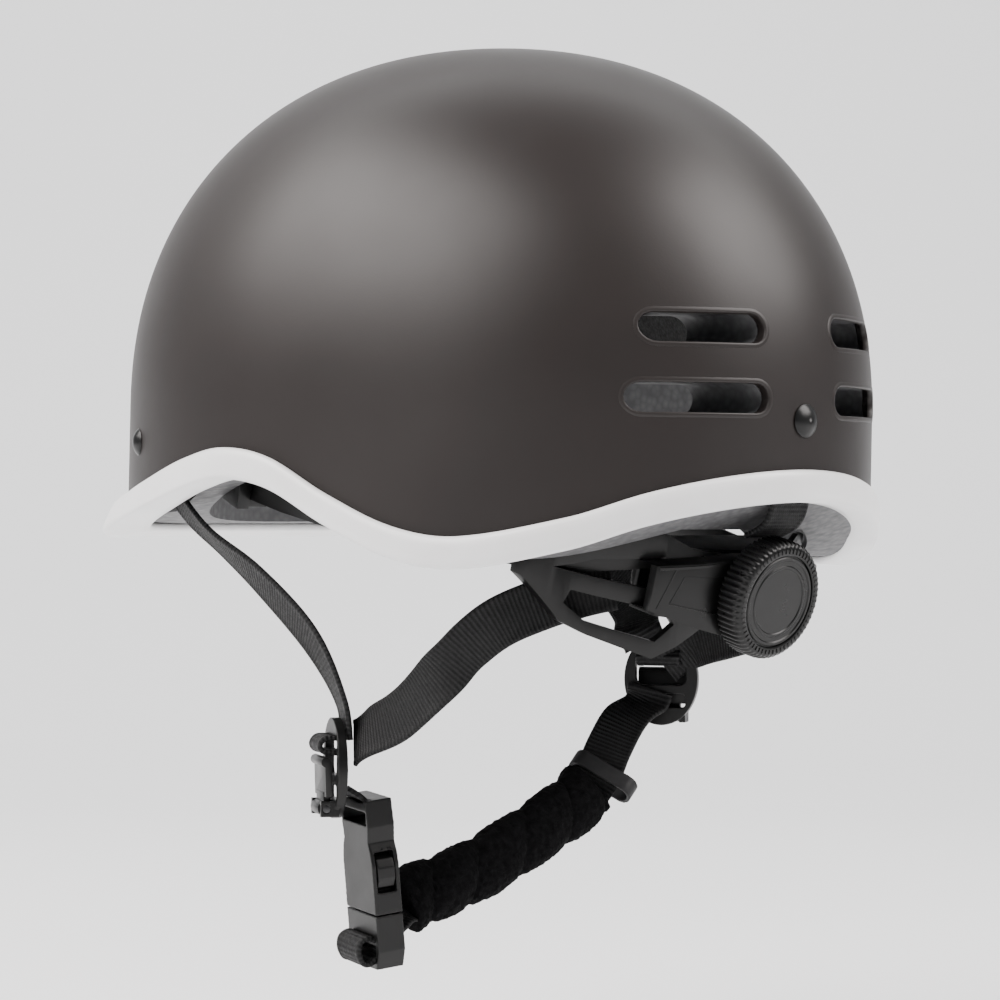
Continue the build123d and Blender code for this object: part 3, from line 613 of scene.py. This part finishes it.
def swell(obj):
    cloth = obj.modifiers.new("cloth", "CLOTH")
    settings = cloth.settings
    settings.use_pressure = True
    settings.uniform_pressure_force = 4
    settings.effector_weights.gravity = 0
    settings.quality = 4
    scene = bpy.context.scene
    for number in range(1, 13):
        scene.frame_set(number)
    apply_modifiers(obj)
    scene.frame_set(1)


FRONT_LEFT = [((85.0, -72.3, -8), (0.44, 0.9, 0)), ((84.4, -69, -22), (0.5, 0.87, 0.1)),
              ((83.4, -59, -33), (0.6, 0.6, 0.5)), ((82, -44.4, -44), (0.72, 0.5, 0.5)),
              ((80, -23.8, -57), (0.55, 0.58, 0.6)), ((77.5, -2, -75), (0.48, 0.62, 0.62)),
              ((73.2, 7.6, -94), (0.55, 0.8, 0.2)), ((72.2, 8.8, -106), (0.5, 0.87, 0))]
FRONT_RIGHT = [((-85.0, -72.3, -8), (-0.44, 0.9, 0)), ((-84.4, -69, -22), (-0.5, 0.87, 0.1)),
               ((-83.4, -59, -32), (-0.4, 0.7, 0.5)), ((-82, -42, -44), (-0.3, 0.6, 0.6)),
               ((-79, -22, -56), (-0.3, 0.6, 0.65)), ((-73, -4, -67), (-0.4, 0.75, 0.5)),
               ((-64.5, 6.5, -73.5), (-0.5, 0.87, 0.1)), ((-65.6, 9.2, -78.5), (-0.5, 0.87, 0))]
REAR_LEFT = [((73.2, 14.4, -106.8), (-0.05, 0.45, 0.88)), ((75, 24, -102.5), (-0.1, 0.42, 0.9)),
             ((75, 38, -96.5), (0, 0.35, 0.92)), ((74.5, 54.9, -84), (0.1, 0.3, 0.92)),
             ((69.8, 63.3, -74.2), (0.3, 0.1, 0.92)), ((63.4, 70, -67.1), (0.3, -0.15, 0.92)),
             ((52.9, 76.8, -61.8), (0.3, -0.25, 0.92)), ((44.8, 86.2, -57.7), (0.15, -0.15, 0.97)),
             ((37, 92.6, -55.4), (0.1, -0.1, 0.99))]
REAR_RIGHT = [((-67.7, 15.8, -86), (0.05, 0.45, 0.88)), ((-73, 25, -79), (0.1, 0.42, 0.9)),
              ((-72.5, 42, -75), (0, 0.3, 0.95)), ((-68.5, 58, -72), (0, 0.3, 0.95)),
              ((-61, 69, -71), (0, 0.2, 0.97)), ((-52, 77, -70), (-0.1, 0.1, 0.97)),
              ((-44, 85, -69), (-0.1, 0, 0.99))]
HANGER = [((0, 133, -6), (1, 0, 0)), ((0, 132.9, -27), (1, 0, 0)), ((0, 129.5, -36), (1, 0, 0)),
          ((0, 121.5, -40), (1, 0, 0))]
BUCKLE_STRAP = [((72.6, 9.0, -121.5), (0.5, 0.87, 0)), ((70.2, 11.2, -124.3), (0.4, 0.91, 0)),
                ((68.6, 12.2, -127.0), (0.29, 0.95, 0))]
CHIN_STRAP = [((59.8, 12, -170.4), (0.2, 0.95, -0.1)), ((55.6, 11.4, -165.4), (0.18, 0.85, -0.45)),
              ((50.4, 11, -160.3), (0.15, 0.6, -0.8)), ((41.6, 11, -157), (0.1, 0.35, -0.93)),
              ((26, 11, -153.8), (0, 0.2, -1)), ((7.8, 11, -147.8), (0, 0.2, -1)),
              ((-10.7, 11, -140.3), (0, 0.2, -1)), ((-28.3, 10, -133), (-0.1, 0.3, -0.9)),
              ((-41.5, 8.8, -124.5), (-0.3, 0.65, -0.6)), ((-48.5, 8.6, -114), (-0.5, 0.8, -0.3)),
              ((-56, 9, -104.3), (-0.5, 0.85, -0.2)), ((-64.8, 10.2, -99), (-0.5, 0.87, 0)),
              ((-66.2, 11.2, -94.4), (-0.5, 0.87, 0))]
SLEEVE_ACROSS = [(0.1, 0.45, -0.9), (0.1, 0.35, -0.93), (0, 0.2, -1), (0, 0.2, -1), (0, 0.2, -1),
                 (-0.1, 0.3, -0.9), (-0.2, 0.45, -0.75)]
SLEEVE_LINE = [(50.4, 11, -160.3), (41.6, 11, -157), (26, 11, -153.8), (7.8, 11, -147.8), (-10.7, 11, -140.3),
               (-28.3, 10, -133), (-38.5, 9.1, -127)]
LOBES = 5


def frame_at(origin, across, up):
    """Local frame with X across, Z up and Y completing it."""
    up = Vector(up).normalized()
    across = Vector(across)
    across = (across - up * across.dot(up)).normalized()
    rotation = Matrix((across, up.cross(across), up)).transposed().to_4x4()
    return Matrix.Translation(Vector(origin)) @ rotation


def webbing_loop(name, place, path, width=16.0):
    """Turn of webbing across the local X, through (Y, Z) stations."""
    across = place.to_3x3() @ Vector((1, 0, 0))
    return ribbon(name, [(place @ Vector((0, y, z)), across) for y, z in path], width)


BUCKLE = frame_at((67, 13, -126.5), (0.292, 0.956, 0), (0.13, 0.02, 0.99))
TONGUE_LOOP = [(1.5, -42.4), (-3.6, -42.4), (-6.6, -41.4), (-9.3, -42.7), (-10.0, -45.9), (-8.6, -49.3),
               (-6.2, -49.7), (-3.6, -48.3), (1.5, -48.2)]
DIVIDERS = {"left": frame_at((75, 7, -115), (0.5, 0.866, 0), (0, 0, 1)),
            "right": frame_at((-71, 12, -91), (-0.5, 0.866, 0), (0, 0, 1))}
RING_LOOP = [(-1.2, 9.4), (2.2, 9.9), (5.0, 9.6), (6.4, 7.6), (5.4, 5.7), (2.4, 5.2), (-1.0, 5.2)]


def chin_sleeve():
    """Fleece sleeve sewn into lobes, with its pile pushed about by a fixed noise."""
    centres, sides = [Vector(c) for c in SLEEVE_LINE], [Vector(s).normalized() for s in SLEEVE_ACROSS]
    steps, around = 240, 64
    points = []
    for k in range(steps + 1):
        share = k / steps
        centre, side, face = line_frame(centres, sides, share * (len(centres) - 1))
        end = min(1.0, (min(share, 1 - share) / 0.02 + 0.05)) ** 0.5
        for j in range(around):
            a = 2 * math.pi * j / around
            seam = LOBES * share + 0.28 * math.cos(a)
            lobe = abs(math.sin(math.pi * seam)) ** 0.4
            high = (8.5 + 2.1 * lobe) * end
            deep = (3.8 + 2.2 * lobe) * end
            flat = abs(math.cos(a)) ** 0.85 * (1 if math.cos(a) > 0 else -1)
            p = centre + side * high * flat + face * deep * math.sin(a)
            out = (p - centre).normalized()
            points.append(p + out * (noise.noise(p * 0.55) * 0.5 + noise.noise(p * 1.7) * 0.28) * end)
    faces = loop_faces(steps + 1, around)
    faces += [tuple(reversed(range(around))), tuple(steps * around + k for k in range(around))]
    return new_object("chin_sleeve_look", points, faces, 75)


def dial_frame():
    tilt = math.radians(-15)
    return Matrix.Translation(Vector((0, 128.8, -60.5))) @ Matrix.Rotation(tilt, 4, "X")


def dial_knob():
    """Knurled cap: 60 rounded ribs, a chamfered face, a ring of ticks and a shallow dish."""
    ribs, per = 60, 12
    count = ribs * per
    rows = [(19.0, -8.6, 1.0), (19.0, -6.5, 1.0), (19.0, -2.6, 1.0), (18.7, -1.5, 0.8), (18.0, -0.6, 0.3),
            (17.2, -0.15, 0.0), (16.4, 0.0, 0.0), (15.1, 0.0, 0.0), (14.8, -0.15, 0.0), (14.6, -0.8, 0.0)]
    points = []
    for radius, y, share in rows:
        for j in range(count):
            a = 2 * math.pi * j / count
            wave = math.cos(a * ribs)
            dip = 0.75 * share * (0.5 - 0.5 * math.copysign(abs(wave) ** 0.6, wave))
            points.append((math.sin(a) * (radius - dip), y, math.cos(a) * (radius - dip)))
    faces = loop_faces(len(rows), count)
    base = len(points)
    points += [(0, -8.6, 0), (0, -0.8, 0)]
    faces += [(j, (j + 1) % count, base) for j in range(count)]
    last = (len(rows) - 1) * count
    faces += [(last + j, last + (j + 1) % count, base + 1) for j in range(count)]
    for k in range(ribs):
        a = 2 * math.pi * k / ribs
        radial, side = Vector((math.sin(a), 0, math.cos(a))), Vector((math.cos(a), 0, -math.sin(a)))
        base = len(points)
        for height, trim_in in ((0.0, 0.0), (0.28, 0.08)):
            for u, v in ((15.4, -0.3), (16.9, -0.3), (16.9, 0.3), (15.4, 0.3)):
                edge = radial * (u + (trim_in if u < 16 else -trim_in)) + side * (v - math.copysign(trim_in, v))
                points.append(edge + Vector((0, height - 0.02, 0)))
        faces += [(base + 4, base + 5, base + 6, base + 7)]
        faces += [(base + m, base + (m + 1) % 4, base + 4 + (m + 1) % 4, base + 4 + m) for m in range(4)]
    obj = new_object("dial_knob_look", [dial_frame() @ Vector(p) for p in points], faces, 40)
    return obj


def dial_disc():
    """Glossy inset with a raised ring and a shallow step."""
    rows = [(14.3, -1.5), (14.3, -0.35), (14.0, -0.12), (13.3, -0.12), (12.9, -0.45), (11.6, -0.48),
            (11.2, -0.22), (10.6, -0.22), (10.3, -0.5), (4.0, -0.5)]
    count = 120
    points = []
    for radius, y in rows:
        for j in range(count):
            a = 2 * math.pi * j / count
            points.append((radius * math.sin(a), y, radius * math.cos(a)))
    faces = loop_faces(len(rows), count)
    last = (len(rows) - 1) * count
    faces += [tuple(range(count)), tuple(last + j for j in reversed(range(count)))]
    return new_object("dial_disc_look", [dial_frame() @ Vector(p) for p in points], faces, 25)


def housing_bead(line, width, rise):
    """Raised line on the housing's curved face through (X, Z) points of the dial's frame."""
    points, faces = [], []
    for (x0, z0), (x1, z1) in zip(line, line[1:]):
        length = math.hypot(x1 - x0, z1 - z0)
        u, v = (z0 - z1) / length, (x1 - x0) / length
        steps, base = 8, len(points)
        for k in range(steps + 1):
            x, z = x0 + (x1 - x0) * k / steps, z0 + (z1 - z0) * k / steps
            for off, up in ((-0.5, -0.3), (-0.3, rise), (0.3, rise), (0.5, -0.3)):
                px = x + u * width * off
                py = math.sqrt(HOUSING_RADIUS ** 2 - px ** 2) + HOUSING_CENTRE_Y + up
                points.append(dial_frame() @ Vector((px, py, z + v * width * off)))
        faces += [tuple(base + i for i in face) for face in loop_faces(steps + 1, 4)]
        faces += [(base + 3, base + 2, base + 1, base), tuple(base + steps * 4 + i for i in range(4))]
    return new_object("bead", points, faces, 30)


def housing():
    """Cover with panel lines on both arms and a raised top edge."""
    pieces = [bevelled("housing_front", 0.6)]
    for side in (-1, 1):
        for line, width, rise in ((PANEL_LINE, 0.5, 0.22), (SPLIT_LINE, 0.6, 0.2), (TOP_LINE, 1.3, 0.45)):
            pieces.append(housing_bead([(side * x, z) for x, z in line], width, rise))
    return dress(joined("housing_front_trimmed", pieces), "housing_front", "cradle")


def shell_group():
    whole = joined("outer_shell_look", [shell()] + vent_lips())
    dress(whole, "outer_shell", "helmet")
    dress(trim(), "rim_trim", "helmet")


def harness():
    for side, stations in (("left", FRONT_LEFT), ("right", FRONT_RIGHT)):
        node = f"front_strap_{side}"
        loop = webbing_loop(node + "_loop", DIVIDERS[side], [(-y, z) for y, z in RING_LOOP], 15.4)
        strap = joined(node + "_look", [ribbon(node + "_run", stations), loop])
        dress(strap, node, "helmet")
    dress(ribbon("buckle_strap_look", BUCKLE_STRAP), "buckle_strap", "helmet")
    for node, stations, start, end in (("rear_strap_left", REAR_LEFT, (74.5, 54.9, -84), (45, 86, -58)),
                                       ("rear_strap_right", REAR_RIGHT, (-68.5, 58, -72), (-46, 83, -69)),
                                       ("hanger_strap", HANGER, (0, 133, -20), (0, 123, -39))):
        strap = dress(ribbon(node + "_look", stations, 17 if node == "hanger_strap" else 16), node, None)
        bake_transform(strap)
    tongue_loop = webbing_loop("tongue_loop", BUCKLE, TONGUE_LOOP)
    strap = joined("chin_strap_look", [ribbon("chin_strap_run", CHIN_STRAP), tongue_loop])
    dress(strap, "chin_strap", None)
    sleeve = dress(chin_sleeve(), "chin_pad", None)
    for piece in (strap, sleeve):
        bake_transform(piece)


HARD = {
    "helmet": ["strap_rivets", "anchor_plates", "lever_pin_left", "lever_pin_right", "band_pins",
               "band_anchor_left", "band_anchor_right"],
    "cradle": ["housing_back", "housing_screws", "detent_spring", "fit_yoke"],
    "dial": ["drive_gear", "dial_screw"],
    "band_left": ["side_band_left"], "band_right": ["side_band_right"],
    "lever_left": ["divider_lever_left"], "lever_right": ["divider_lever_right"],
}
SOFT = [("buckle_socket", "helmet", 0.28, 4), ("divider_base_left", "helmet", 0.2, 3),
        ("divider_base_right", "helmet", 0.2, 3), ("strap_keeper", "helmet", 0.28, 4),
        ("buckle_tongue", "tongue", 0.28, 4), ("prong_front", "button_front", 0.28, 4),
        ("prong_rear", "button_rear", 0.28, 4)]
FINE_EDGES = {"detent_spring": 0.1, "drive_gear": 0.12, "lever_pin_left": 0.15, "lever_pin_right": 0.15,
              "housing_screws": 0.15, "dial_screw": 0.15, "strap_rivets": 0.15, "fit_yoke": 0.6}


def mechanism():
    for body, nodes in HARD.items():
        for node in nodes:
            hard_piece(node, body, FINE_EDGES.get(node, 0.35))
    for node, body, voxel, rounds in SOFT:
        soft_moulding(node, body, voxel, rounds)
    housing()
    dress(dial_knob(), "dial_knob", "dial")
    dress(dial_disc(), "dial_disc", "dial")


def inside():
    liner = bpy.data.objects.new("eps_liner_look", NODES["eps_liner"].data.copy())
    bpy.context.collection.objects.link(liner)
    shade(liner, 35)
    dress(liner, "eps_liner", "helmet")
    hard_piece("pad_dots", "helmet", 0.15)
    for node in ("brow_pad", "crown_pad_left", "crown_pad_right", "side_pad_left", "side_pad_right",
                 "nape_pad_left", "nape_pad_right"):
        soft_pad(node, "helmet")
    soft_pad("yoke_pad", "cradle", 2.0)


# ---------------------------------------------------------------- stage, light and camera

def plain_material(name, color, roughness):
    s = Shader(name, color, roughness)
    s.color(s.noise(3, 4), tuple(c * 0.985 for c in color), color)
    return s.material


def studio():
    """Pale floor that curves up into a backdrop."""
    direction = Vector((-math.sin(math.radians(135.99)), math.cos(math.radians(135.99)), 0))
    across = Vector((direction.y, -direction.x, 0))
    profile = [(-2.6, 0), (1.2, 0)]
    for k in range(1, 11):
        a = math.radians(9 * k)
        profile.append((1.2 + 1.2 * math.sin(a), 1.2 - 1.2 * math.cos(a)))
    profile += [(2.4, 4.0)]
    points = []
    for forward, up in profile:
        for side in (-5, 5):
            points.append((direction * forward + across * side + Vector((0, 0, up - 0.24))) / MM)
    floor = new_object("floor", points, loop_faces(len(profile), 2, False, False), 60)
    floor.data.materials.append(plain_material("floor_pale", (0.86, 0.87, 0.88), 0.7))


def area_light(name, azimuth, elevation, distance, size, power, color=(1, 1, 1), aim=(0, 0, 0)):
    a, e = math.radians(azimuth), math.radians(elevation)
    place = Vector((math.sin(a) * math.cos(e), -math.cos(a) * math.cos(e), math.sin(e))) * distance
    lamp = bpy.data.lights.new(name, "AREA")
    lamp.shape = "RECTANGLE"
    lamp.size, lamp.size_y = size
    lamp.energy = power
    lamp.color = color
    obj = bpy.data.objects.new(name, lamp)
    obj.location = place
    obj.rotation_euler = (place - Vector(aim)).to_track_quat("Z", "Y").to_euler()
    bpy.context.collection.objects.link(obj)


def lights():
    area_light("key_left", 66, 42, 1.7, (2.0, 1.2), 80, (1.0, 0.96, 0.94))
    area_light("key_right", 212, 42, 1.7, (1.2, 1.2), 50, (1.0, 0.96, 0.94))
    area_light("wash", 316, 58, 1.9, (2.6, 0.8), 28, aim=(-1.3, -1.35, 0.0))
    world = bpy.data.worlds.new("studio")
    world.use_nodes = True
    world.node_tree.nodes["Background"].inputs[0].default_value = (0.93, 0.96, 1.0, 1)
    world.node_tree.nodes["Background"].inputs[1].default_value = 0.22
    bpy.context.scene.world = world


def camera():
    """Photo's viewpoint: 1.2 m away, almost level, from the rear left."""
    azimuth, elevation, roll = math.radians(135.992), math.radians(-1.399), math.radians(0.333)
    right = Vector((math.cos(azimuth), math.sin(azimuth), 0))
    back = Vector((math.sin(azimuth) * math.cos(elevation), -math.cos(azimuth) * math.cos(elevation),
                   math.sin(elevation)))
    up = back.cross(right)
    tilted_right = right * math.cos(roll) + up * math.sin(roll)
    tilted_up = back.cross(tilted_right)
    lens = bpy.data.cameras.new("camera")
    lens.sensor_width = 36
    lens.lens = 128.7
    lens.shift_x = 0.0085
    lens.shift_y = -0.088
    lens.clip_start = 0.01
    obj = bpy.data.objects.new("camera", lens)
    rotation = Matrix((tilted_right, tilted_up, back)).transposed().to_4x4()
    obj.matrix_world = Matrix.Translation(back * 1.1988) @ rotation
    bpy.context.collection.objects.link(obj)
    bpy.context.scene.camera = obj


shell_group()
harness()
mechanism()
inside()
studio()
lights()
camera()
